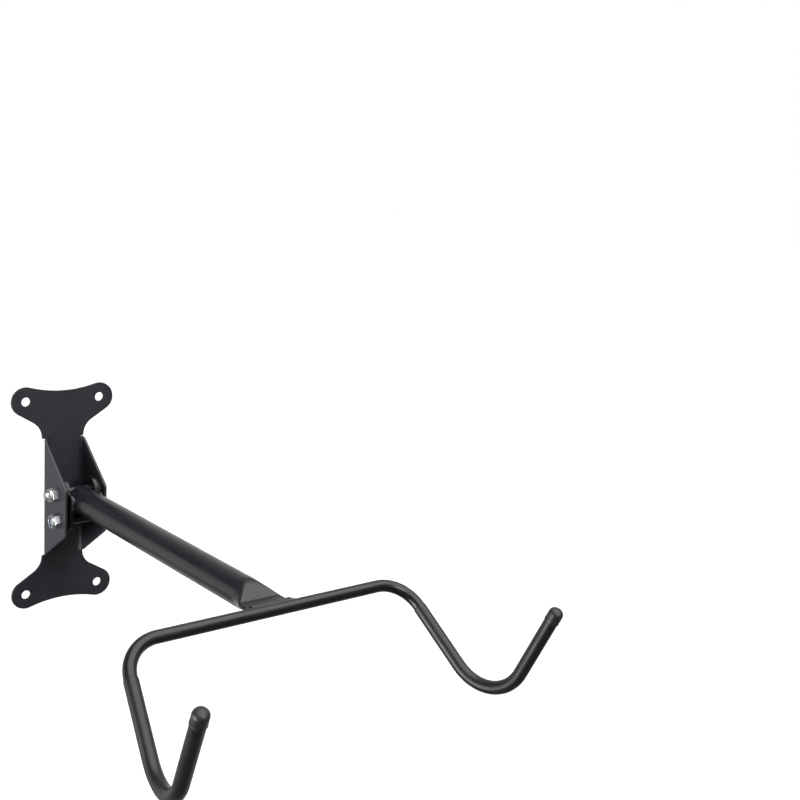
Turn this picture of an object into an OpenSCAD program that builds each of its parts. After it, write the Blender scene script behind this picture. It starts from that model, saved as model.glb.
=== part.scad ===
// Folding wall rack for one bicycle.
// A bone-shaped steel bracket bolts flat to the wall. Its two flanges carry a
// round arm on a pivot bolt, and the arm ends in one bent rod with two open
// hooks for the bicycle's top tube. The arm folds up against the wall.
//
// X runs along the wall, Y = 0 is the wall and -Y is into the room, Z is up.
// The origin is the centre of the four wall holes, on the wall.

/* [Wall bracket] */
// Distance between the wall holes, side to side
hole_dx = 76; // [60:1:100]
// Distance between the wall holes, top to bottom
hole_dz = 197; // [170:1:240]
// Diameter of each wall hole
hole_d = 9; // [6:0.5:11]
// Radius of the rounded ear around each wall hole
ear_r = 14.5; // [12:0.5:17]
// Height from the centre to the middle of the curved top and bottom edges
edge_mid = 107.5; // [96:0.5:126]
// Thickness of the bracket's sheet steel
sheet_t = 2.5; // [2:0.25:3]
// Slope of the edge from each ear to the neck, in degrees
ear_slope = 32; // [24:1:38]
// Radius where the ear's edge runs into the neck
neck_fillet_r = 18; // [10:1:24]

/* [Flanges] */
// Width over the two flanges
channel_w = 43; // [40:0.5:50]
// Outside radius of the bend between the web and each flange
bend_r = 9; // [6:0.5:10]
// How far the flanges stand off the wall
flange_depth = 56; // [52:1:66]
// Half height of the flanges at the web
flange_root_h = 60; // [56:1:64]
// Height of the flanges' upper front corner above the centre
flange_front_top = 20.5; // [18:0.5:26]
// Depth of the flanges' lower front corner below the centre
flange_front_low = 25.5; // [22:0.5:30]
// Radius of the flanges' front corners
flange_corner_r = 4; // [2:0.5:6]

/* [Pivot and stop] */
// Distance of the pivot bolt from the wall
pivot_y = 36; // [33:0.5:40]
// Height of the pivot bolt above the centre
pivot_z = 12; // [10:0.5:14]
// Distance of the stop bolt from the wall
stop_y = 41; // [39:0.5:43]
// Depth of the stop bolt below the centre
stop_z = 13; // [12:0.5:16]
// Diameter of both bolts
bolt_d = 8; // [6:0.5:8]
// Length of the pivot bolt under its head
pivot_bolt_l = 55; // [53:1:60]
// Length of the stop bolt under its head
stop_bolt_l = 50; // [49:1:60]
// Outside diameter of the sleeve that joins the root plates
sleeve_d = 12; // [10.5:0.5:12]
// Outside diameter of the spacer on the stop bolt
spacer_d = 11; // [10:0.5:12]

/* [Arm] */
// Outside diameter of the arm tube
tube_d = 26; // [22:0.5:28]
// Wall thickness of the arm tube
tube_wall = 1.5; // [1:0.25:2]
// Length of the tube's end that is pressed flat
flat_l = 15; // [10:1:20]
// Length over which the tube goes from round to flat
press_l = 23; // [16:1:30]
// Height of the arm's axis above the centre
arm_z = 7; // [6:0.5:8]
// Distance from the wall to the crossbar's axis
bar_y = 384; // [250:1:480]
// Thickness of the two plates at the arm's root
lug_t = 3; // [2:0.5:3]

/* [Hooks] */
// Diameter of the hook rod
rod_d = 10; // [8:0.5:12]
// Width between the crossbar's two corners
bar_w = 251; // [200:1:320]
// Bend radius at the crossbar's corners, on the rod's axis
bar_bend_r = 30; // [20:1:40]
// How far the hooks' lowest corners stand in front of the crossbar
hook_reach = 100; // [80:1:130]
// How far the hooks' lowest corners lie below the crossbar
hook_drop = 84.5; // [65:1:105]
// How much wider each hook is at the bottom than at the crossbar
hook_spread = 17.5; // [0:0.5:25]
// How far the tips stand in front of the lowest corners
tip_reach = 49; // [35:1:65]
// Height of the tips above the lowest corners
tip_rise = 104.5; // [80:1:130]
// How much wider each tip is than the lowest corner
tip_spread = 7.5; // [0:0.5:15]
// Bend radius at the bottom of the hooks, on the rod's axis
hook_bend_r = 38; // [25:1:42]
// Thickness of the soft coating on the hooks
coat_t = 0.4; // [0.3:0.1:1.5]
// Wall thickness of the caps on the hook tips
cap_wall = 0.9; // [0.6:0.1:2]
// Length of the caps on the hook tips
cap_l = 12; // [9:1:20]

/* [Hidden] */

$fn = 96;
black = [0.13, 0.13, 0.15];
dark = [0.09, 0.09, 0.10];
zinc = [0.75, 0.76, 0.78];

half_w = channel_w/2;              // outer face of a flange
inner_w = half_w - sheet_t;        // inner face of a flange
nut_af = 1.625*bolt_d;             // across the flats
nut_h = bolt_d;                    // nut with a nylon ring
head_h = 0.66*bolt_d;
gap = 0.1;                         // running gap beside moving faces
tube_r = tube_d/2;
tube_start = pivot_y + sleeve_d/2 + 1.5;  // the arm tube's inner end
tube_end = bar_y - rod_d/2;        // the tube's flat end meets the rod
round_end = tube_end - flat_l - press_l;  // the tube is round up to here
flat_h = tube_wall;                // half the thickness of the flat end
flat_w = wide(flat_h);             // half the width of the flat end
tube_sides = 40;
cap_d = rod_d + 2*cap_wall;
lug_in = tube_r - 0.5;             // inner face of a root lug
lug_out = tube_r + lug_t;          // outer face of a root lug
finger_y = stop_y + spacer_d/2 + gap;
thin = 0.06;                       // a bent length draws down a little
lap = 0.4;                         // straights run this far into the bends
relief = 0.4;                      // saw cut at each end of a flange's bend

// plate outline, upper right quarter
ear = [hole_dx/2, hole_dz/2];
slope_dir = [cos(ear_slope), sin(ear_slope)];
ear_side = ear + ear_r*[sin(ear_slope), -cos(ear_slope)];
neck_corner = ear_side - slope_dir*(ear_side[0] - half_w)/cos(ear_slope);
fillet_len = neck_fillet_r*tan((90 - ear_slope)/2);
fillet_a = neck_corner + fillet_len*slope_dir;
fillet_b = neck_corner - [0, fillet_len];
fillet_c = fillet_b + [neck_fillet_r, 0];
// circle of the curved edge, touching both ears and passing the middle
edge_s = edge_mid - ear[1];
edge_r = (ear[0]*ear[0] + edge_s*edge_s - ear_r*ear_r)/(2*(ear_r - edge_s));
edge_c = [0, edge_mid + edge_r];
ear_top = ear + ear_r*unit(edge_c - ear);

// hook rod corner points on the right-hand side
rod_0 = [0, -bar_y, arm_z];
rod_a = [bar_w/2, -bar_y, arm_z];
rod_b = rod_a + [hook_spread, -hook_reach, -hook_drop];
rod_c = rod_b + [tip_spread, -tip_reach, tip_rise];

function unit(v) = v/norm(v);
function corner_angle(p, q, r) = acos(unit(p - q)*unit(r - q));
function tangent_len(p, q, r, rad) = rad/tan(corner_angle(p, q, r)/2);
function toward(p, q, len) = p + len*unit(q - p);

// straight round bar from p to q
module bar(p, q, d) {
  v = q - p;
  translate(p)
    rotate([0, acos(v[2]/norm(v)), atan2(v[1], v[0])])
      cylinder(d = d, h = norm(v));
}

// bend of radius rad at corner q between p and r; d_in > 0 makes it a tube
module bend(p, q, r, rad, d, d_in = 0) {
  t = tangent_len(p, q, r, rad);
  a = toward(q, p, t);
  inward = unit(unit(p - q) + unit(r - q));
  c = q + inward*(rad/sin(corner_angle(p, q, r)/2));
  ex = unit(a - c);
  ey = unit(q - p);
  ez = cross(ex, ey);
  multmatrix([[ex[0], ey[0], ez[0], c[0]],
              [ex[1], ey[1], ez[1], c[1]],
              [ex[2], ey[2], ez[2], c[2]],
              [0, 0, 0, 1]])
    rotate_extrude(angle = 180 - corner_angle(p, q, r))
      translate([rad, 0]) difference() {
        circle(d = d, $fn = 48);
        if (d_in > 0) circle(d = d_in, $fn = 48);
      }
}

module tube_between(p, q, d, d_in) {
  v = q - p;
  translate(p)
    rotate([0, acos(v[2]/norm(v)), atan2(v[1], v[0])])
      difference() {
        cylinder(d = d, h = norm(v));
        translate([0, 0, -1]) cylinder(d = d_in, h = norm(v) + 2);
      }
}

// side view shapes are drawn with x = Y and y = Z, and run along X
module side_extrude(x0, x1)
  translate([x0, 0, 0]) rotate([90, 0, 90]) linear_extrude(x1 - x0) children();

// points of an arc from angle a0 to a1, in steps of about 4 degrees
function arc(c, r, a0, a1) =
  let (n = ceil(abs(a1 - a0)/4))
  [for (i = [0:n]) let (a = a0 + (a1 - a0)*i/n) c + r*[cos(a), sin(a)]];
function bearing(v) = atan2(v[1], v[0]);
function backwards(l) = [for (i = [len(l) - 1:-1:0]) l[i]];
function flipped(l, sx, sz) = [for (p = l) [sx*p[0], sz*p[1]]];
// arc that rounds the corner q between p and r
function rounded(p, q, r, rad) =
  let (half = corner_angle(p, q, r)/2,
       c = q + unit(unit(p - q) + unit(r - q))*(rad/sin(half)),
       t = rad/tan(half),
       a0 = bearing(toward(q, p, t) - c),
       a1 = bearing(toward(q, r, t) - c),
       turn = a1 - a0 > 180 ? a1 - a0 - 360 : a1 - a0 < -180 ? a1 - a0 + 360 : a1 - a0)
  arc(c, rad, a0, a0 + turn);

// ---------------------------------------------------------------- bracket
// from the middle of the top edge round the ear and down to the neck
quarter = concat(
  arc(edge_c, edge_r, -90, bearing(ear_top - edge_c)),
  arc(ear, ear_r, bearing(ear_top - ear), bearing(ear_side - ear)),
  arc(fillet_c, neck_fillet_r, 90 + ear_slope, 180));

module plate_outline()
  polygon(concat(quarter, backwards(flipped(quarter, 1, -1)),
                 flipped(quarter, -1, -1), backwards(flipped(quarter, -1, 1))));

module flange_outline() {
  near_t = [-5, flange_root_h];
  front_t = [-flange_depth, flange_front_top];
  front_b = [-flange_depth, -flange_front_low];
  near_b = [-5, -flange_root_h];
  polygon(concat([[1, flange_root_h], near_t],
                 rounded(near_t, front_t, front_b, flange_corner_r),
                 rounded(front_t, front_b, near_b, flange_corner_r),
                 [near_b, [1, -flange_root_h]]));
}

// one bend and flange in plan, on the +X side
module flange_section() {
  c = [half_w - bend_r, -bend_r];
  difference() {
    intersection() {
      translate(c) circle(r = bend_r);
      translate(c) square([bend_r + 1, bend_r + 1]);
    }
    translate(c) circle(r = bend_r - sheet_t);
  }
  translate([inner_w, -flange_depth - 1])
    square([sheet_t, flange_depth + 1 - bend_r]);
}

module wall_bracket() {
  color(black) difference() {
    union() {
      // the flat plate, less the two strips that are bent forward
      rotate([90, 0, 0]) linear_extrude(sheet_t) difference() {
        plate_outline();
        for (sx = [-1, 1])
          translate([sx*(half_w - bend_r/2 + 1), 0])
            square([bend_r + 2, 2*(flange_root_h + relief)], center = true);
      }
      for (sx = [0, 1]) mirror([sx, 0, 0]) intersection() {
        translate([0, 0, -flange_root_h])
          linear_extrude(2*flange_root_h) flange_section();
        side_extrude(half_w - bend_r, half_w + 1) flange_outline();
      }
    }
    for (sx = [-1, 1], sz = [-1, 1])
      translate([sx*ear[0], 1, sz*ear[1]]) rotate([90, 0, 0])
        cylinder(d = hole_d, h = sheet_t + 2);
    for (p = [[-pivot_y, pivot_z], [-stop_y, -stop_z]])
      translate([-half_w - 1, p[0], p[1]]) rotate([0, 90, 0])
        cylinder(d = bolt_d + 0.4, h = channel_w + 2);
  }
}

// ---------------------------------------------------------------- hardware
// hex bolt along -X, its head's bearing face at x = 0
module hex_bolt(len, turn) {
  rotate([0, 90, 0]) rotate([0, 0, turn]) intersection() {
    cylinder(d = nut_af/cos(30), h = head_h, $fn = 6);
    union() {
      cylinder(d = nut_af/cos(30), h = head_h - 1);
      translate([0, 0, head_h - 1])
        cylinder(d1 = nut_af/cos(30), d2 = nut_af - 0.6, h = 1);
    }
  }
  rotate([0, -90, 0]) {
    cylinder(d = bolt_d, h = len - 0.9);
    translate([0, 0, len - 0.9])
      cylinder(d1 = bolt_d, d2 = bolt_d - 1.6, h = 0.9);
  }
}

module pivot_bolt()
  color(zinc) translate([half_w, -pivot_y, pivot_z]) hex_bolt(pivot_bolt_l, 0);

module stop_bolt()
  color(zinc) translate([half_w, -stop_y, -stop_z]) hex_bolt(stop_bolt_l, 12);

// nut along -X from its bearing face at x = 0, with a collar for the ring
module lock_nut(turn) {
  rotate([0, -90, 0]) rotate([0, 0, turn]) difference() {
    union() {
      intersection() {
        cylinder(d = nut_af/cos(30), h = 0.75*nut_h, $fn = 6);
        union() {
          cylinder(d = nut_af/cos(30), h = 0.75*nut_h - 1);
          translate([0, 0, 0.75*nut_h - 1])
            cylinder(d1 = nut_af/cos(30), d2 = nut_af - 0.2, h = 1);
        }
      }
      cylinder(d = 0.93*nut_af, h = nut_h);
    }
    translate([0, 0, -1]) cylinder(d = bolt_d, h = nut_h + 2);
    translate([0, 0, 0.72*nut_h]) cylinder(d = bolt_d + 2.6, h = 0.23*nut_h);
    translate([0, 0, 0.9*nut_h]) cylinder(d = bolt_d + 1.6, h = nut_h);
  }
}

module lock_nuts() color(zinc) {
  translate([-half_w, -pivot_y, pivot_z]) lock_nut(10);
  translate([-half_w, -stop_y, -stop_z]) lock_nut(25);
}

module nut_rings() color([0.16, 0.22, 0.45])
  for (p = [[-pivot_y, pivot_z], [-stop_y, -stop_z]])
    translate([-half_w - 0.72*nut_h, p[0], p[1]]) rotate([0, -90, 0])
      difference() {
        cylinder(d = bolt_d + 2.6, h = 0.23*nut_h);
        translate([0, 0, -1]) cylinder(d = bolt_d, h = nut_h);
      }

// nylon washers between the root lugs and the flanges
module thrust_washers() color([0.08, 0.08, 0.08])
  for (s = [0, 1]) mirror([s, 0, 0])
    translate([lug_out + gap, -pivot_y, pivot_z]) rotate([0, 90, 0])
      difference() {
        cylinder(d = sleeve_d + 12, h = inner_w - lug_out - gap);
        translate([0, 0, -1]) cylinder(d = sleeve_d + 0.6, h = inner_w);
      }

module stop_spacer() color(zinc)
  translate([-inner_w, -stop_y, -stop_z]) rotate([0, 90, 0]) difference() {
    cylinder(d = spacer_d, h = 2*inner_w);
    translate([0, 0, -1]) cylinder(d = bolt_d + 0.2, h = 2*inner_w + 2);
  }

// ---------------------------------------------------------------- arm root
module pivot_sleeve() color(zinc)
  translate([-inner_w + gap, -pivot_y, pivot_z]) rotate([0, 90, 0])
    difference() {
      cylinder(d = sleeve_d, h = 2*(inner_w - gap));
      translate([0, 0, -1]) cylinder(d = bolt_d + 0.15, h = 2*inner_w + 2);
    }

module sleeve_hole()
  translate([-inner_w - 1, -pivot_y, pivot_z]) rotate([0, 90, 0])
    cylinder(d = sleeve_d, h = 2*inner_w + 2);

// plain round length of the arm tube, which the root plates are cut to
module tube_solid(extra = 0)
  translate([0, -tube_start + extra, arm_z]) rotate([90, 0, 0])
    cylinder(r = tube_r, h = round_end - tube_start + 2*extra);

// half width of the tube where it is pressed to half height h: its wall
// keeps its length, so it gets wider as it gets flatter
function wide(h) = h + PI*(tube_r - h)/2;
// half height at share u of the way back from the flat to the round length
function high(u) = flat_h + (tube_r - flat_h)*sin(90*u);
// outline of the pressed tube, inset by the wall for its hollow
function pressed(h, y, inset = 0) =
  [for (i = [0:tube_sides - 1]) let (t = 360*i/tube_sides)
    [(h - inset)*cos(t) + (wide(h) - h)*sign(round(1000*cos(t))), y,
     arm_z + (h - inset)*sin(t)]];
function pressed_y(u) = -(tube_end - flat_l - press_l*u);

// closed solid through a row of outlines
module skin(rows) {
  n = len(rows[0]);
  last = (len(rows) - 1)*n;
  polyhedron(
    points = [for (r = rows) each r],
    faces = concat(
      [[for (i = [0:n - 1]) i], [for (i = [n - 1:-1:0]) last + i]],
      [for (k = [0:len(rows) - 2], i = [0:n - 1])
        [k*n + i, (k + 1)*n + i, k*n + (i + 1)%n]],
      [for (k = [0:len(rows) - 2], i = [0:n - 1])
        [k*n + (i + 1)%n, (k + 1)*n + i, (k + 1)*n + (i + 1)%n]]));
}

module arm_tube() color(black) difference() {
  skin(concat([pressed(tube_r, -tube_start)],
              [for (u = [1, 0.85, 0.7, 0.55, 0.4, 0.25, 0.12, 0])
                pressed(high(u), pressed_y(u))],
              [pressed(flat_h, -tube_end)]));
  skin(concat([pressed(tube_r, -tube_start + 1, tube_wall)],
              [for (u = [1, 0.85, 0.7, 0.55, 0.4, 0.25, 0.12, 0.03])
                pressed(high(u), pressed_y(u), tube_wall)]));
}

// root plate: round head on the pivot, a strip along the tube and a finger
// that comes down in front of the stop bolt's spacer
module lug_outline() {
  head_r = 14;
  strip = 8;
  front = flange_depth + 5;
  difference() {
    union() {
      translate([-pivot_y, pivot_z]) circle(r = head_r);
      translate([-front + strip, arm_z - strip])
        square([front - strip - pivot_y, 2*strip]);
      translate([-front + strip, arm_z]) circle(r = strip);
      translate([-finger_y - 4, -stop_z - 3]) circle(r = 4);
      translate([-finger_y - 8, -stop_z - 3])
        square([8, arm_z + stop_z + 3]);
    }
  }
}

module root_lug(s) color(black) difference() {
  mirror([s, 0, 0]) side_extrude(lug_in, lug_out) lug_outline();
  tube_solid(1);
  sleeve_hole();
}
module root_lug_left() root_lug(1);
module root_lug_right() root_lug(0);

// weld beads in the corners between the tube and a root lug
module root_welds(s) color(dark) mirror([s, 0, 0]) for (sz = [-1, 1]) {
  r = 2.2;
  difference() {
    translate([lug_in - 1.2, -flange_depth + 6, arm_z + sz*7.6])
      rotate([90, 0, 0]) cylinder(r = r, h = 8);
    side_extrude(lug_in, lug_out) lug_outline();
    tube_solid(1);
  }
}
module root_welds_left() root_welds(1);
module root_welds_right() root_welds(0);

// ---------------------------------------------------------------- hook rod
module hook_half() {
  ta = tangent_len(rod_0, rod_a, rod_b, bar_bend_r) - lap;
  tb = tangent_len(rod_a, rod_b, rod_c, hook_bend_r) - lap;
  rod_end = toward(rod_c, rod_b, 0.3*cap_d);
  bend(rod_0, rod_a, rod_b, bar_bend_r, rod_d - thin);
  bar(toward(rod_a, rod_b, ta), toward(rod_b, rod_a, tb), rod_d);
  bend(rod_a, rod_b, rod_c, hook_bend_r, rod_d - thin);
  bar(toward(rod_b, rod_c, tb), rod_end, rod_d);
}

module hook_rod() color(black) {
  ta = tangent_len(rod_0, rod_a, rod_b, bar_bend_r) - lap;
  end = toward(rod_a, rod_0, ta);
  bar([-end[0], end[1], end[2]], end, rod_d);
  hook_half();
  mirror([1, 0, 0]) hook_half();
}

// soft coating from the crossbar's corner to the tip cap
module hook_coat(s) color(dark) mirror([s, 0, 0]) {
  d = rod_d + 2*coat_t;
  ta = tangent_len(rod_0, rod_a, rod_b, bar_bend_r);
  tb = tangent_len(rod_a, rod_b, rod_c, hook_bend_r) - lap;
  tube_between(toward(rod_a, rod_b, ta), toward(rod_b, rod_a, tb), d, rod_d);
  bend(rod_a, rod_b, rod_c, hook_bend_r, d - thin, rod_d + thin);
  tube_between(toward(rod_b, rod_c, tb), toward(rod_c, rod_b, cap_l), d, rod_d);
}
module hook_coat_left() hook_coat(1);
module hook_coat_right() hook_coat(0);

module tip_cap(s) color(dark) mirror([s, 0, 0]) {
  start = toward(rod_c, rod_b, cap_l);
  v = unit(rod_c - rod_b);
  flat_r = 1.4;
  dome_r = cap_d/2 - flat_r;
  translate(start) rotate([0, acos(v[2]), atan2(v[1], v[0])])
    rotate_extrude() difference() {
      union() {
        square([cap_d/2, cap_l - dome_r]);
        square([flat_r, cap_l]);
        intersection() {
          translate([flat_r, cap_l - dome_r]) circle(r = dome_r);
          translate([flat_r, cap_l - dome_r]) square(dome_r + 1);
        }
      }
      translate([-1, -1]) square([rod_d/2 + 1, cap_l - 0.3*cap_d + 1]);
    }
}
module tip_cap_left() tip_cap(1);
module tip_cap_right() tip_cap(0);

// ------------------------------------------------------- crossbar welds
module rod_cut()
  bar([-bar_w/4, -bar_y, arm_z], [bar_w/4, -bar_y, arm_z], rod_d);

module flat_cut()
  translate([-flat_w, -tube_end - 1, arm_z - flat_h])
    cube([2*flat_w, flat_l, 2*flat_h]);

// bead along the rod, on the tube's flat end
module crossbar_bead(sz) color(dark) difference() {
  r = 0.3*rod_d;
  translate([-(flat_w - flat_h), -tube_end + 0.8, arm_z + sz*(flat_h + 0.7)])
    rotate([0, 90, 0]) cylinder(r = r, h = 2*(flat_w - flat_h));
  rod_cut();
  flat_cut();
}
module crossbar_weld_top() crossbar_bead(1);
module crossbar_weld_bottom() crossbar_bead(-1);

// hollow-faced fillet between the edge of the flat end and the rod
module crossbar_fillet(s) color(dark) mirror([s, 0, 0]) difference() {
  leg = 6;
  x0 = flat_w - flat_h;
  y0 = -tube_end - 2;
  h = 0.32*rod_d;
  translate([0, 0, arm_z - h]) linear_extrude(2*h) difference() {
    polygon([[x0, y0], [x0, y0 + leg + 2], [flat_w, y0 + leg + 2],
             [flat_w + leg, y0 + 2], [flat_w + leg, y0]]);
    translate([flat_w + leg, y0 + leg + 2]) circle(r = leg);
  }
  rod_cut();
  flat_cut();
}
module crossbar_weld_left() crossbar_fillet(1);
module crossbar_weld_right() crossbar_fillet(0);

wall_bracket();
pivot_bolt();
stop_bolt();
lock_nuts();
nut_rings();
thrust_washers();
stop_spacer();
arm_tube();
root_lug_left();
root_lug_right();
root_welds_left();
root_welds_right();
pivot_sleeve();
hook_rod();
crossbar_weld_top();
crossbar_weld_bottom();
crossbar_weld_left();
crossbar_weld_right();
hook_coat_left();
hook_coat_right();
tip_cap_left();
tip_cap_right();
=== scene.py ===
import math

import bpy
from mathutils import Matrix, Vector


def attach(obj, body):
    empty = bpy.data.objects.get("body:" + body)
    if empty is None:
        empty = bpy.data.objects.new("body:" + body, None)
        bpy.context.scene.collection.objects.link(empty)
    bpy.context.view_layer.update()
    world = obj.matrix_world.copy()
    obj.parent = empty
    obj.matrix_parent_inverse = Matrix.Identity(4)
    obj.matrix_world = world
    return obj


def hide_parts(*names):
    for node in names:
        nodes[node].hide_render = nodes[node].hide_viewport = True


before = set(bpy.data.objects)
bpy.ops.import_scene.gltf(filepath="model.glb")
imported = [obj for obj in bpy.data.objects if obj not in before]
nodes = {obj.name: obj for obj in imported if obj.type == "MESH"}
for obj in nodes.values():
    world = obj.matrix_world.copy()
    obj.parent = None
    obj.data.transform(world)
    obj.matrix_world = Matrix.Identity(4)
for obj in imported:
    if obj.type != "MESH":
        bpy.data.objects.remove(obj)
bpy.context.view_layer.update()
mm = 0.001
mergeReach = 2e-6  # metres, closer vertices than this are one
print("frame:", len(nodes), "nodes")

# camera
cameraSpec = {
    "place": (-0.46848, -1.06041, 0.33043),
    "yaw": -40.6,  # turned right of straight at the wall, degrees
    "tilt": 79.2,  # up from straight down
    "roll": 3.58,
    "lens": 51.41,  # mm
    "sensor": 36,  # mm across
}

bpy.ops.object.camera_add(location=cameraSpec["place"])
camera = bpy.context.object
camera.name = "camera"
camera.data.sensor_width = cameraSpec["sensor"]
camera.data.lens = cameraSpec["lens"]
camera.rotation_euler = (
    Matrix.Rotation(math.radians(cameraSpec["yaw"]), 3, "Z")
    @ Matrix.Rotation(math.radians(cameraSpec["tilt"]), 3, "X")
    @ Matrix.Rotation(math.radians(cameraSpec["roll"]), 3, "Z")
).to_euler()
bpy.context.scene.camera = camera
print("camera placed")


# materials
def linearColour(hexCode):
    channels = [int(hexCode[i : i + 2], 16) / 255 for i in (1, 3, 5)]
    return [c / 12.92 if c <= 0.04045 else ((c + 0.055) / 1.055) ** 2.4
            for c in channels] + [1]


def addNode(material, kind, inputs=None, **settings):
    tree = material.node_tree
    node = tree.nodes.new("ShaderNode" + kind)
    for key, value in settings.items():
        setattr(node, key, value)
    for key, value in (inputs or {}).items():
        if isinstance(value, bpy.types.NodeSocket):
            tree.links.new(value, node.inputs[key])
        else:
            node.inputs[key].default_value = value
    return node


def newMaterial(name):
    material = bpy.data.materials.new(name)
    material.use_nodes = True
    shader = material.node_tree.nodes["Principled BSDF"]
    place = addNode(material, "TexCoord").outputs["Object"]
    return material, shader, place


def joinTo(material, source, shader, socket):
    material.node_tree.links.new(source, shader.inputs[socket])


def powderCoat(name, look):
    # sprayed powder baked to an even skin: colour drifts a little with film
    # thickness, the gloss is broken up and the surface has orange peel
    material, shader, place = newMaterial(name)
    drift = addNode(material, "TexNoise", {
        "Vector": place, "Scale": 1 / (look["driftSize"] * mm),
        "Detail": 3, "Roughness": 0.55})
    tone = addNode(material, "Mix", {
        0: drift.outputs["Fac"],
        6: linearColour(look["deep"]), 7: linearColour(look["pale"])},
        data_type="RGBA")
    joinTo(material, tone.outputs[2], shader, "Base Color")
    gloss = addNode(material, "MapRange", {
        "Value": drift.outputs["Fac"], "From Min": 0.3, "From Max": 0.7,
        "To Min": look["roughness"][0], "To Max": look["roughness"][1]})
    joinTo(material, gloss.outputs[0], shader, "Roughness")
    peel = addNode(material, "TexNoise", {
        "Vector": place, "Scale": 1 / (look["peelSize"] * mm), "Detail": 1.5,
        "Roughness": 0.4})
    bump = addNode(material, "Bump", {
        "Height": peel.outputs["Fac"], "Strength": look["peelStrength"],
        "Distance": look["peelDepth"] * mm})
    joinTo(material, bump.outputs[0], shader, "Normal")
    shader.inputs["IOR"].default_value = look["ior"]
    return material


# satin black polyester powder coat on pressed sheet; the peel of a satin
# coat is about 1 mm and is drawn at 2 mm so that it shows
satinPowderCoat = powderCoat("satinPowderCoat", {
    "deep": "#2a2a2f", "pale": "#313138", "driftSize": 16,
    "roughness": (0.42, 0.52), "peelSize": 2.0, "peelStrength": 0.25,
    "peelDepth": 0.05, "ior": 1.42})

# gloss black powder coat on the welded arm: darker, flows out smoother
glossPowderCoat = powderCoat("glossPowderCoat", {
    "deep": "#131317", "pale": "#1a1a1f", "driftSize": 22,
    "roughness": (0.24, 0.32), "peelSize": 2.6, "peelStrength": 0.18,
    "peelDepth": 0.05, "ior": 1.45})

# plasticised vinyl dip on the hooks: soft, slightly uneven satin skin
vinylDip = powderCoat("vinylDip", {
    "deep": "#141417", "pale": "#1b1b1f", "driftSize": 12,
    "roughness": (0.34, 0.44), "peelSize": 3.2, "peelStrength": 0.2,
    "peelDepth": 0.08, "ior": 1.46})

# moulded vinyl of the tip caps: satin, a little paler where it is thin
mouldedVinyl = powderCoat("mouldedVinyl", {
    "deep": "#202024", "pale": "#27272b", "driftSize": 7,
    "roughness": (0.36, 0.46), "peelSize": 1.4, "peelStrength": 0.12,
    "peelDepth": 0.04, "ior": 1.46})

# polyamide of the washers: matt, moulded
washerPolyamide = powderCoat("washerPolyamide", {
    "deep": "#17171a", "pale": "#1e1e21", "driftSize": 9,
    "roughness": (0.5, 0.6), "peelSize": 1.2, "peelStrength": 0.15,
    "peelDepth": 0.03, "ior": 1.5})

# dyed polyamide ring in the lock nuts: waxy blue
ringPolyamide = powderCoat("ringPolyamide", {
    "deep": "#1d2c5e", "pale": "#26376f", "driftSize": 5,
    "roughness": (0.38, 0.5), "peelSize": 1.0, "peelStrength": 0.15,
    "peelDepth": 0.03, "ior": 1.5})


def zincPlate(name, look):
    # bright electroplated zinc: cloudy passivation and fine drawing marks
    material, shader, place = newMaterial(name)
    cloud = addNode(material, "TexNoise", {
        "Vector": place, "Scale": 1 / (look["cloudSize"] * mm),
        "Detail": 4, "Roughness": 0.6})
    tone = addNode(material, "Mix", {
        0: cloud.outputs["Fac"],
        6: linearColour(look["cool"]), 7: linearColour(look["warm"])},
        data_type="RGBA")
    joinTo(material, tone.outputs[2], shader, "Base Color")
    gloss = addNode(material, "MapRange", {
        "Value": cloud.outputs["Fac"], "From Min": 0.3, "From Max": 0.7,
        "To Min": look["roughness"][0], "To Max": look["roughness"][1]})
    joinTo(material, gloss.outputs[0], shader, "Roughness")
    grain = addNode(material, "TexNoise", {
        "Vector": place, "Scale": 1 / (look["grainSize"] * mm),
        "Detail": 2, "Roughness": 0.5})
    bump = addNode(material, "Bump", {
        "Height": grain.outputs["Fac"], "Strength": look["grainStrength"],
        "Distance": look["grainDepth"] * mm})
    joinTo(material, bump.outputs[0], shader, "Normal")
    shader.inputs["Metallic"].default_value = 1
    return material


brightZinc = zincPlate("brightZinc", {
    "cool": "#d9dde2", "warm": "#c9c8c1", "cloudSize": 4,
    "roughness": (0.24, 0.38), "grainSize": 0.6, "grainStrength": 0.2,
    "grainDepth": 0.02})

finishOf = {
    "bracket_paint": satinPowderCoat,
    "arm_paint": glossPowderCoat,
    "zinc": brightZinc,
    "nut_nylon": ringPolyamide,
    "washer_nylon": washerPolyamide,
    "hook_coating": vinylDip,
    "cap_vinyl": mouldedVinyl,
}
slotOf = {
    "wall_bracket": "bracket_paint", "pivot_bolt": "zinc",
    "stop_bolt": "zinc", "lock_nuts": "zinc", "nut_rings": "nut_nylon",
    "thrust_washers": "washer_nylon",
    "hook_coat_left": "hook_coating",
    "hook_coat_right": "hook_coating", "tip_cap_left": "cap_vinyl",
    "tip_cap_right": "cap_vinyl",
}
for name, node in nodes.items():
    node.data.materials.clear()
    node.data.materials.append(finishOf[slotOf.get(name, "arm_paint")])
print("materials:", len(finishOf))


# modelling helpers
def restStart():
    # object mode with nothing selected, so an operator acts on one piece only
    if bpy.context.object and bpy.context.object.mode != "OBJECT":
        bpy.ops.object.mode_set(mode="OBJECT")
    bpy.ops.object.select_all(action="DESELECT")


def activate(piece):
    restStart()
    piece.select_set(True)
    bpy.context.view_layer.objects.active = piece


def pickVertices(piece, wanted):
    # in edit mode: selects the vertices whose place passes
    bpy.ops.object.mode_set(mode="EDIT")
    bpy.ops.mesh.select_mode(type="VERT")
    bpy.ops.mesh.select_all(action="DESELECT")
    bpy.ops.object.mode_set(mode="OBJECT")
    for vertex in piece.data.vertices:
        vertex.select = wanted(vertex.co)
    bpy.ops.object.mode_set(mode="EDIT")


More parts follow.
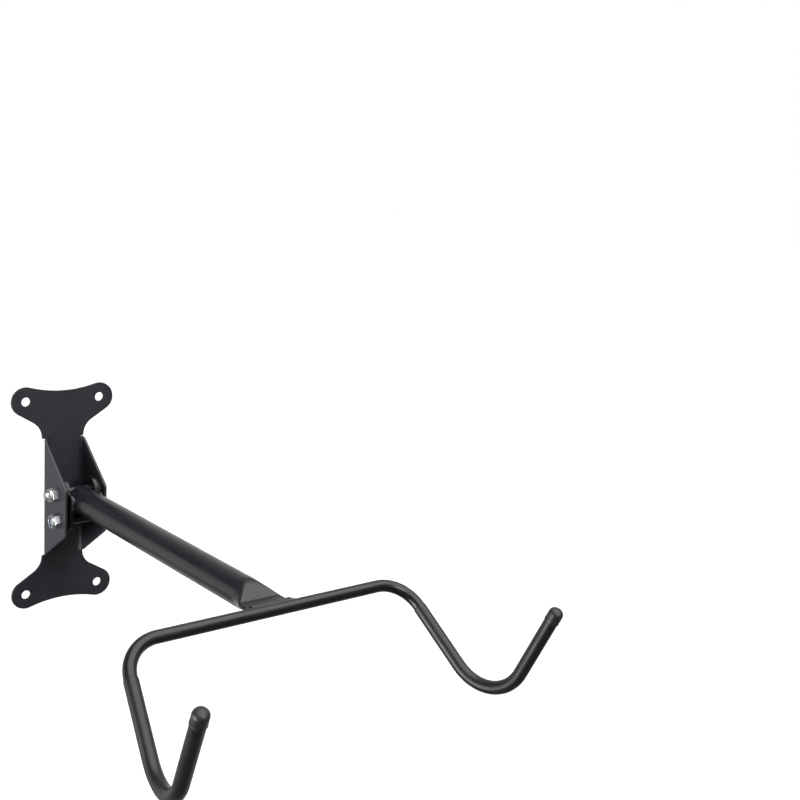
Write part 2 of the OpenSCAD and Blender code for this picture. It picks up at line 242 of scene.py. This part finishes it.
def applyModifier(piece, kind, **settings):
    bpy.ops.object.modifier_add(type=kind)
    modifier = piece.modifiers[-1]
    for key, value in settings.items():
        setattr(modifier, key, value)
    bpy.ops.object.modifier_apply(modifier=modifier.name)


def growBy(step):
    bpy.ops.mesh.extrude_region_move(TRANSFORM_OT_translate={"value": step})


def addRing(name, centre, direction, radius, sides):
    restStart()
    turn = Vector(direction).to_track_quat("Z", "Y").to_euler()
    bpy.ops.mesh.primitive_circle_add(
        vertices=sides, radius=radius, location=centre, rotation=turn)
    piece = bpy.context.object
    piece.name = name
    bpy.ops.object.transform_apply(location=True, rotation=True, scale=True)
    bpy.ops.object.mode_set(mode="EDIT")
    bpy.ops.mesh.select_all(action="SELECT")
    return piece


def resizeLast(size, centre):
    bpy.ops.transform.resize(value=(size, size, size), center_override=centre)


def turnOnLathe(name, start, direction, profile, sides):
    # profile: (along, radius) in mm, its two ends are filled
    along, radius = profile[0]
    piece = addRing(name, start + direction * along * mm, direction,
                    radius * mm, sides)
    for nextAlong, nextRadius in profile[1:]:
        growBy(direction * (nextAlong - along) * mm)
        resizeLast(nextRadius / radius, start + direction * nextAlong * mm)
        along, radius = nextAlong, nextRadius
    bpy.ops.mesh.select_all(action="SELECT")
    bpy.ops.mesh.region_to_loop()
    bpy.ops.mesh.fill_holes(sides=0)
    tidyFaces()
    return piece


def tidyFaces():
    bpy.ops.mesh.select_all(action="SELECT")
    bpy.ops.mesh.remove_doubles(threshold=mergeReach)
    bpy.ops.mesh.normals_make_consistent(inside=False)
    bpy.ops.object.mode_set(mode="OBJECT")


def copyNode(node, name):
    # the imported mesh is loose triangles: merged, and flats made whole again
    restStart()
    piece = bpy.data.objects.new(name, nodes[node].data.copy())
    bpy.context.scene.collection.objects.link(piece)
    activate(piece)
    bpy.ops.mesh.customdata_custom_splitnormals_clear()
    bpy.ops.object.mode_set(mode="EDIT")
    bpy.ops.mesh.select_all(action="SELECT")
    bpy.ops.mesh.remove_doubles(threshold=mergeReach)
    bpy.ops.mesh.dissolve_limited(angle_limit=math.radians(0.8))
    bpy.ops.mesh.normals_make_consistent(inside=False)
    bpy.ops.object.mode_set(mode="OBJECT")
    return piece


def bevelSharp(piece, width, segments, angle, wanted):
    # bevels the sharp edges whose middle passes
    activate(piece)
    bpy.ops.object.mode_set(mode="EDIT")
    bpy.ops.mesh.select_mode(type="EDGE")
    bpy.ops.mesh.select_all(action="DESELECT")
    bpy.ops.mesh.edges_select_sharp(sharpness=math.radians(angle))
    bpy.ops.object.mode_set(mode="OBJECT")
    corners = piece.data.vertices
    for edge in piece.data.edges:
        start, end = (corners[i].co for i in edge.vertices)
        edge.select = edge.select and wanted((start + end) / 2)
    bpy.ops.object.mode_set(mode="EDIT")
    bpy.ops.mesh.bevel(offset=width * mm, segments=segments,
                       affect="EDGES", clamp_overlap=False)
    bpy.ops.mesh.select_mode(type="VERT")
    bpy.ops.object.mode_set(mode="OBJECT")


def softenEdges(piece, width, segments, angle):
    activate(piece)
    applyModifier(piece, "BEVEL", width=width * mm, segments=segments,
                  limit_method="ANGLE", angle_limit=math.radians(angle),
                  use_clamp_overlap=False, miter_outer="MITER_ARC")


def finish(piece, body, slotName, cadNode, smooth=35):
    activate(piece)
    bpy.ops.object.shade_smooth_by_angle(angle=math.radians(smooth))
    applyModifier(piece, "WEIGHTED_NORMAL", keep_sharp=True)
    piece.data.materials.clear()
    piece.data.materials.append(finishOf[slotName])
    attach(piece, body)
    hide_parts(cadNode)
    print("piece:", piece.name, len(piece.data.polygons), "faces")


# wall bracket: pressed sheet, its cut edges softened by the coating
bracketSpec = {
    "edge": 0.4, "edgeSteps": 3, "sharpFrom": 40,
    "flangeHeight": 60,  # from the middle to a flange's end
    "sawCut": 0.4, "leftOpen": 0.05, "squareMargin": 0.3, "reach": 0.02,
}


def clearOfSawCut(place):
    # the narrow cuts at the flanges' ends stay square, or they would gape
    gap = abs(place.z) / mm - bracketSpec["flangeHeight"]
    margin = bracketSpec["squareMargin"]
    return not -margin < gap < bracketSpec["sawCut"] + margin


def closeSawCut(piece, sign, spec):
    # powder has bridged most of each cut, so its outer wall comes close
    cutEnd = spec["flangeHeight"] + spec["sawCut"]
    pickVertices(piece, lambda place:
                 abs(sign * place.z / mm - cutEnd) < spec["reach"])
    bpy.ops.transform.translate(value=(
        0, 0, -sign * (spec["sawCut"] - spec["leftOpen"]) * mm))
    bpy.ops.object.mode_set(mode="OBJECT")


wallBracket = copyNode("wall_bracket", "wallBracket")
bevelSharp(wallBracket, bracketSpec["edge"], bracketSpec["edgeSteps"],
           bracketSpec["sharpFrom"], clearOfSawCut)
for sign in (1, -1):
    closeSawCut(wallBracket, sign, bracketSpec)
finish(wallBracket, "wall", "bracket_paint", "wall_bracket")

# arm tube: round, its front end pressed flat where it meets the rod
tubeSpec = {
    "radius": 13, "wall": 1.5, "height": 7, "rootY": -43.5, "frontY": -379,
    "flatLength": 15, "pressLength": 23, "pressSteps": 14, "sides": 64,
    "wallShare": 0.96,  # of the wall, so that the flat end's walls stay apart
}


def pressRing(piece, spec, y, half, lastHalf):
    # squeezes the last ring to half height and lets it get wider
    spread = math.pi * (spec["radius"] - half) / 2 * mm
    centre = Vector((0, y * mm, spec["height"] * mm))
    bpy.ops.transform.resize(value=(1, 1, half / lastHalf),
                             center_override=centre)
    bpy.ops.object.mode_set(mode="OBJECT")
    for vertex in piece.data.vertices:
        if vertex.select:
            rise = (vertex.co.z - centre.z) / (half * mm)
            reach = math.sqrt(max(0, 1 - rise * rise)) * half * mm
            side = (vertex.co.x > mergeReach) - (vertex.co.x < -mergeReach)
            vertex.co.x = side * (reach + spread)
    bpy.ops.object.mode_set(mode="EDIT")


def makeTube(spec):
    flatStart = spec["frontY"] + spec["flatLength"]
    pressStart = flatStart + spec["pressLength"]
    piece = addRing("armTube", (0, spec["rootY"] * mm, spec["height"] * mm),
                    (0, -1, 0), spec["radius"] * mm, spec["sides"])
    growBy((0, (pressStart - spec["rootY"]) * mm, 0))
    y, half = pressStart, spec["radius"]
    for step in range(1, spec["pressSteps"] + 1):
        share = 1 - step / spec["pressSteps"]
        nextY = flatStart + spec["pressLength"] * share
        nextHalf = (spec["wall"] + (spec["radius"] - spec["wall"])
                    * math.sin(math.pi / 2 * share))
        growBy((0, (nextY - y) * mm, 0))
        pressRing(piece, spec, nextY, nextHalf, half)
        y, half = nextY, nextHalf
    growBy((0, (spec["frontY"] - y) * mm, 0))
    tidyFaces()
    applyModifier(piece, "SOLIDIFY", offset=-1, use_even_offset=False,
                  thickness=spec["wall"] * mm * spec["wallShare"])
    return piece


armTube = makeTube(tubeSpec)
finish(armTube, "arm", "arm_paint", "arm_tube", smooth=50)

# hook rod: one bent bar, crossbar and both hooks; the coating follows it
rodSpec = {
    "radius": 5, "crossbarY": -384, "height": 7, "crossbarHalf": 125.5,
    "cornerBend": 30, "hookBend": 38, "bottom": (17.5, -100, -84.5),
    "tip": (7.5, -49, 104.5), "sides": 40, "bendSteps": 20, "endInset": 3.54,
}
coatSpec = {
    "thickness": 0.4, "lipLength": 1.4, "wallShare": 0.9,
    "clearance": 0.03,  # between the rod and the lip's edge
    "lip": ((0.25, 0.2), (0.6, 0.31), (1, 0.37)),  # share of length, rise
    "stop": 10,  # short of the tip, under the cap
}

crossbarMiddle = Vector((0, rodSpec["crossbarY"], rodSpec["height"])) * mm
cornerPoint = crossbarMiddle + Vector((rodSpec["crossbarHalf"], 0, 0)) * mm
bottomPoint = cornerPoint + Vector(rodSpec["bottom"]) * mm
tipPoint = bottomPoint + Vector(rodSpec["tip"]) * mm


def bendAt(before, corner, after, radius):
    back = (before - corner).normalized()
    on = (after - corner).normalized()
    half = back.angle(on) / 2
    reach = radius / math.tan(half)
    return {
        "start": corner + back * reach, "end": corner + on * reach,
        "centre": corner + (back + on).normalized() * radius / math.sin(half),
        "axis": back.cross(on), "turn": math.pi - 2 * half}


cornerBend = bendAt(crossbarMiddle, cornerPoint, bottomPoint,
                    rodSpec["cornerBend"] * mm)
hookBend = bendAt(cornerPoint, bottomPoint, tipPoint,
                  rodSpec["hookBend"] * mm)
stemDirection = (tipPoint - bottomPoint).normalized()


def spinRound(bend):
    bpy.ops.mesh.spin(steps=rodSpec["bendSteps"], angle=bend["turn"],
                      center=bend["centre"], axis=bend["axis"])


def mirrorPiece(piece, name):
    # the left-hand piece is the right-hand one turned over
    restStart()
    twin = piece.copy()
    twin.data = piece.data.copy()
    twin.name = name
    bpy.context.scene.collection.objects.link(twin)
    activate(twin)
    twin.scale.x = -1
    bpy.ops.object.transform_apply(location=True, rotation=True, scale=True)
    bpy.ops.object.mode_set(mode="EDIT")
    tidyFaces()
    return twin


def makeRod(spec):
    piece = addRing("hookRod", crossbarMiddle, (1, 0, 0),
                    spec["radius"] * mm, spec["sides"])
    growBy(cornerBend["start"] - crossbarMiddle)
    spinRound(cornerBend)
    growBy(hookBend["start"] - cornerBend["end"])
    spinRound(hookBend)
    growBy(tipPoint - stemDirection * spec["endInset"] * mm - hookBend["end"])
    bpy.ops.mesh.edge_face_add()
    bpy.ops.mesh.select_all(action="SELECT")
    bpy.ops.object.mode_set(mode="OBJECT")
    applyModifier(piece, "MIRROR", merge_threshold=1e-5)
    bpy.ops.object.mode_set(mode="EDIT")
    tidyFaces()
    return piece


hookRod = makeRod(rodSpec)
finish(hookRod, "arm", "arm_paint", "hook_rod")


def makeCoat(spec):
    # starts as a feathered lip on the rod and runs under the tip cap
    legDirection = (bottomPoint - cornerPoint).normalized()
    centre = cornerBend["end"]
    lipRadius = radius = rodSpec["radius"] + spec["clearance"]
    piece = addRing("hookCoatRight", centre, legDirection, radius * mm,
                    rodSpec["sides"])
    for share, rise in spec["lip"]:
        nextCentre = (cornerBend["end"]
                      + legDirection * spec["lipLength"] * mm * share)
        growBy(nextCentre - centre)
        resizeLast((lipRadius + rise) / radius, nextCentre)
        centre, radius = nextCentre, lipRadius + rise
    growBy(hookBend["start"] - centre)
    spinRound(hookBend)
    growBy(tipPoint - stemDirection * spec["stop"] * mm - hookBend["end"])
    tidyFaces()
    applyModifier(piece, "SOLIDIFY", offset=-1,
                  thickness=spec["thickness"] * mm * spec["wallShare"])
    return piece


hookCoatRight = makeCoat(coatSpec)
hookCoatLeft = mirrorPiece(hookCoatRight, "hookCoatLeft")
finish(hookCoatRight, "arm", "hook_coating", "hook_coat_right")
finish(hookCoatLeft, "arm", "hook_coating", "hook_coat_left")

# tip caps: moulded vinyl, with a rounded nose and a rolled hem
capSpec = {
    "length": 12, "sides": 40, "smooth": 50,
    "profile": ((0, 5.35), (0, 5.7), (0.25, 5.88), (0.8, 5.9), (1.4, 5.86),
                (1.9, 5.74), (7.4, 5.72), (8.4, 5.6), (9.3, 5.3),
                (10.2, 4.75), (10.95, 3.9), (11.5, 2.8), (11.85, 1.6),
                (12, 0.5)),
}
tipCapRight = turnOnLathe(
    "tipCapRight", tipPoint - stemDirection * capSpec["length"] * mm,
    stemDirection, capSpec["profile"], capSpec["sides"])
tipCapLeft = mirrorPiece(tipCapRight, "tipCapLeft")
finish(tipCapRight, "arm", "cap_vinyl", "tip_cap_right",
       smooth=capSpec["smooth"])
finish(tipCapLeft, "arm", "cap_vinyl", "tip_cap_left",
       smooth=capSpec["smooth"])

# crossbar welds: rows of overlapping puddles run together, a fillet each side
weldSpec = {
    "pitch": 1.9, "lean": 24, "flatten": 0.82, "grain": 0.32,
    "halfRun": 17, "y": -378.4, "radius": 2.9, "smooth": 60,
    "beads": {"crossbarWeldTop": ("crossbar_weld_top", 9.1),
              "crossbarWeldBottom": ("crossbar_weld_bottom", 4.9)},
    "fillets": {"crossbarWeldRight": "crossbar_weld_right",
                "crossbarWeldLeft": "crossbar_weld_left"},
}


def runTogether(piece, spec, softening):
    applyModifier(piece, "REMESH", mode="VOXEL",
                  voxel_size=spec["grain"] * mm)
    applyModifier(piece, "SMOOTH", factor=0.5, iterations=softening)


def makeBead(name, height, spec):
    start = Vector((-spec["halfRun"], spec["y"], height)) * mm
    run = Vector((2 * spec["halfRun"], 0, 0)) * mm
    count = round(run.length / (spec["pitch"] * mm))
    restStart()
    bpy.ops.mesh.primitive_uv_sphere_add(
        segments=20, ring_count=12, radius=spec["radius"] * mm,
        location=start, rotation=(0, 0, math.radians(spec["lean"])))
    piece = bpy.context.object
    piece.name = name
    piece.scale = (spec["flatten"], 1, 1)
    bpy.ops.object.transform_apply(location=True, rotation=True, scale=True)
    applyModifier(piece, "ARRAY", count=count, use_relative_offset=False,
                  use_constant_offset=True,
                  constant_offset_displace=run / (count - 1))
    runTogether(piece, spec, 2)
    return piece


for name, (cadNode, height) in weldSpec["beads"].items():
    bead = makeBead(name, height, weldSpec)
    finish(bead, "arm", "arm_paint", cadNode, smooth=weldSpec["smooth"])
for name, cadNode in weldSpec["fillets"].items():
    fillet = copyNode(cadNode, name)
    runTogether(fillet, weldSpec, 3)
    finish(fillet, "arm", "arm_paint", cadNode, smooth=weldSpec["smooth"])

# root plates of the arm: cut from strip, their edges broken
lugSpec = {
    "edge": 0.35, "edgeSteps": 3, "sharpFrom": 40,
    "plates": {"rootLugRight": "root_lug_right",
               "rootLugLeft": "root_lug_left"},
}
for name, cadNode in lugSpec["plates"].items():
    lug = copyNode(cadNode, name)
    softenEdges(lug, lugSpec["edge"], lugSpec["edgeSteps"],
                lugSpec["sharpFrom"])
    finish(lug, "arm", "arm_paint", cadNode)

# lock nuts: hexagon and crimped collar, two of them
nutSpec = {"edge": 0.22, "edgeSteps": 3, "sharpFrom": 28, "smooth": 40}
lockNuts = copyNode("lock_nuts", "lockNuts")
softenEdges(lockNuts, nutSpec["edge"], nutSpec["edgeSteps"],
            nutSpec["sharpFrom"])
finish(lockNuts, "wall", "zinc", "lock_nuts", smooth=nutSpec["smooth"])

# bolts: hexagon head, plain shank and a rolled thread
boltSpec = {
    "headX": 21.5, "threadFrom": -20, "pitch": 1.25, "radius": 4,
    "rootRadius": 3.35, "sides": 40, "smooth": 32,
    "flat": 0.16, "flank": 0.34,  # shares of the pitch
    "threadLap": 0.5,  # the thread's length inside the shank
    "edge": 0.18, "edgeSteps": 2, "sharpFrom": 28,
    "bolts": {
        "pivotBolt": {"node": "pivot_bolt", "y": -36, "z": 12, "length": 55},
        "stopBolt": {"node": "stop_bolt", "y": -41, "z": -13, "length": 50},
    },
}


def cutAcross(x, side):
    # cuts all of the piece at x, drops one side and fills the cut
    bpy.ops.mesh.select_all(action="SELECT")
    bpy.ops.mesh.bisect(plane_co=(x * mm, 0, 0), plane_no=(1, 0, 0),
                        use_fill=True, clear_inner=side == "inner",
                        clear_outer=side == "outer")


def makeThread(end, own, spec):
    # one turn's profile, wound along the bolt and cut to length
    restStart()
    bpy.ops.mesh.primitive_plane_add(size=mm)
    thread = bpy.context.object
    bpy.ops.object.mode_set(mode="EDIT")
    bpy.ops.mesh.select_all(action="SELECT")
    bpy.ops.mesh.merge(type="CENTER")
    bpy.ops.transform.translate(value=(
        (end - 2 * spec["pitch"]) * mm, 0, spec["rootRadius"] * mm))
    depth = (spec["radius"] - spec["rootRadius"]) * mm
    pitch = spec["pitch"] * mm
    for stepX, stepZ in ((spec["flat"], 0), (spec["flank"], depth),
                         (spec["flat"], 0), (spec["flank"], -depth)):
        growBy((stepX * pitch, 0, stepZ))
    bpy.ops.object.mode_set(mode="OBJECT")
    spareTurns = 4
    turns = math.ceil((spec["threadFrom"] - end) / spec["pitch"]) + spareTurns
    applyModifier(thread, "SCREW", axis="X", angle=2 * math.pi,
                  steps=spec["sides"], render_steps=spec["sides"],
                  screw_offset=pitch, iterations=turns,
                  use_merge_vertices=True, merge_threshold=1e-6)
    bpy.ops.object.mode_set(mode="EDIT")
    cutAcross(end, "inner")
    cutAcross(spec["threadFrom"] + spec["threadLap"], "outer")
    tidyFaces()
    thread.location = (0, own["y"] * mm, own["z"] * mm)
    bpy.ops.object.transform_apply(location=True, rotation=True, scale=True)
    return thread


def makeBolt(name, own, spec):
    # head and plain shank come from the CAD, the thread takes over from there
    shank = copyNode(own["node"], name)
    bpy.ops.object.mode_set(mode="EDIT")
    cutAcross(spec["threadFrom"], "inner")
    bpy.ops.object.mode_set(mode="OBJECT")
    softenEdges(shank, spec["edge"], spec["edgeSteps"], spec["sharpFrom"])
    thread = makeThread(spec["headX"] - own["length"], own, spec)
    activate(thread)
    shank.select_set(True)
    bpy.context.view_layer.objects.active = shank
    bpy.ops.object.join()
    return shank


for name, own in boltSpec["bolts"].items():
    bolt = makeBolt(name, own, boltSpec)
    finish(bolt, "wall", "zinc", own["node"], smooth=boltSpec["smooth"])

# floor and light
stageSpec = {
    "floorHeight": -0.9,
    "floorSize": 60,
    "floorColour": "#f4f4f4",
    "frontGrey": 0.10,  # the dark room in front, which the metal mirrors
    "backWhite": 0.85,  # the lit backdrop behind, which rims the round bars
    "backdrop": (0.66, 0.73, -0.19),  # where the backdrop hangs
    "fade": (0.25, 0.95),  # from dark to lit, as a share of facing it
    "aim": (0, -0.2, 0),  # what the box lights point at
}

bpy.ops.mesh.primitive_plane_add(
    size=stageSpec["floorSize"], location=(0, 0, stageSpec["floorHeight"]))
floor = bpy.context.object
floor.name = "floor"
# white seamless paper: matt
seamlessPaper, paperShader, _ = newMaterial("seamlessPaper")
paperShader.inputs["Base Color"].default_value = linearColour(
    stageSpec["floorColour"])
paperShader.inputs["Roughness"].default_value = 0.9
floor.data.materials.append(seamlessPaper)
# the paper shows in the picture but doesn't light the metal from below
floor.visible_glossy = False
floor.visible_diffuse = False

lights = {
    "top": {"kind": "SUN", "from": (0.15, -0.3, 1), "power": 4.2,
            "angle": 80},
    "left": {"kind": "AREA", "from": (-2.4, -0.1, -0.5), "size": 1.8,
             "power": 95},
    "leftBack": {"kind": "AREA", "from": (-1.5, 1.3, -0.2), "size": 1.4,
                 "power": 5},
    "front": {"kind": "AREA", "from": (0.15, -2.2, 0.75), "size": 0.5,
              "power": 14},
}
for name, look in lights.items():
    start = Vector(look["from"])
    bpy.ops.object.light_add(type=look["kind"], location=start)
    lamp = bpy.context.object
    lamp.name = name + "Light"
    lamp.visible_camera = False
    lamp.data.energy = look["power"]
    if look["kind"] == "SUN":
        shineFrom = start
        lamp.data.angle = math.radians(look["angle"])
    else:
        shineFrom = start - Vector(stageSpec["aim"])
        lamp.data.size = look["size"]
    lamp.rotation_euler = shineFrom.to_track_quat("Z", "Y").to_euler()

world = bpy.data.worlds.new("studio")
bpy.context.scene.world = world
world.use_nodes = True
sky = world.node_tree.nodes["Background"]
direction = addNode(world, "TexCoord").outputs["Generated"]
towards = addNode(world, "VectorMath", {
    0: direction, 1: stageSpec["backdrop"]}, operation="DOT_PRODUCT")
around = addNode(world, "MapRange", {
    "Value": towards.outputs["Value"],
    "From Min": stageSpec["fade"][0], "From Max": stageSpec["fade"][1],
    "To Min": stageSpec["frontGrey"], "To Max": stageSpec["backWhite"]})
rays = addNode(world, "LightPath")
shade = addNode(world, "Mix", {
    0: rays.outputs["Is Camera Ray"], 2: around.outputs[0], 3: 1.0},
    data_type="FLOAT")
world.node_tree.links.new(shade.outputs[0], sky.inputs["Strength"])
sky.inputs["Color"].default_value = (1, 1, 1, 1)
bpy.context.scene.view_settings.view_transform = "Standard"
print("floor and lights placed")
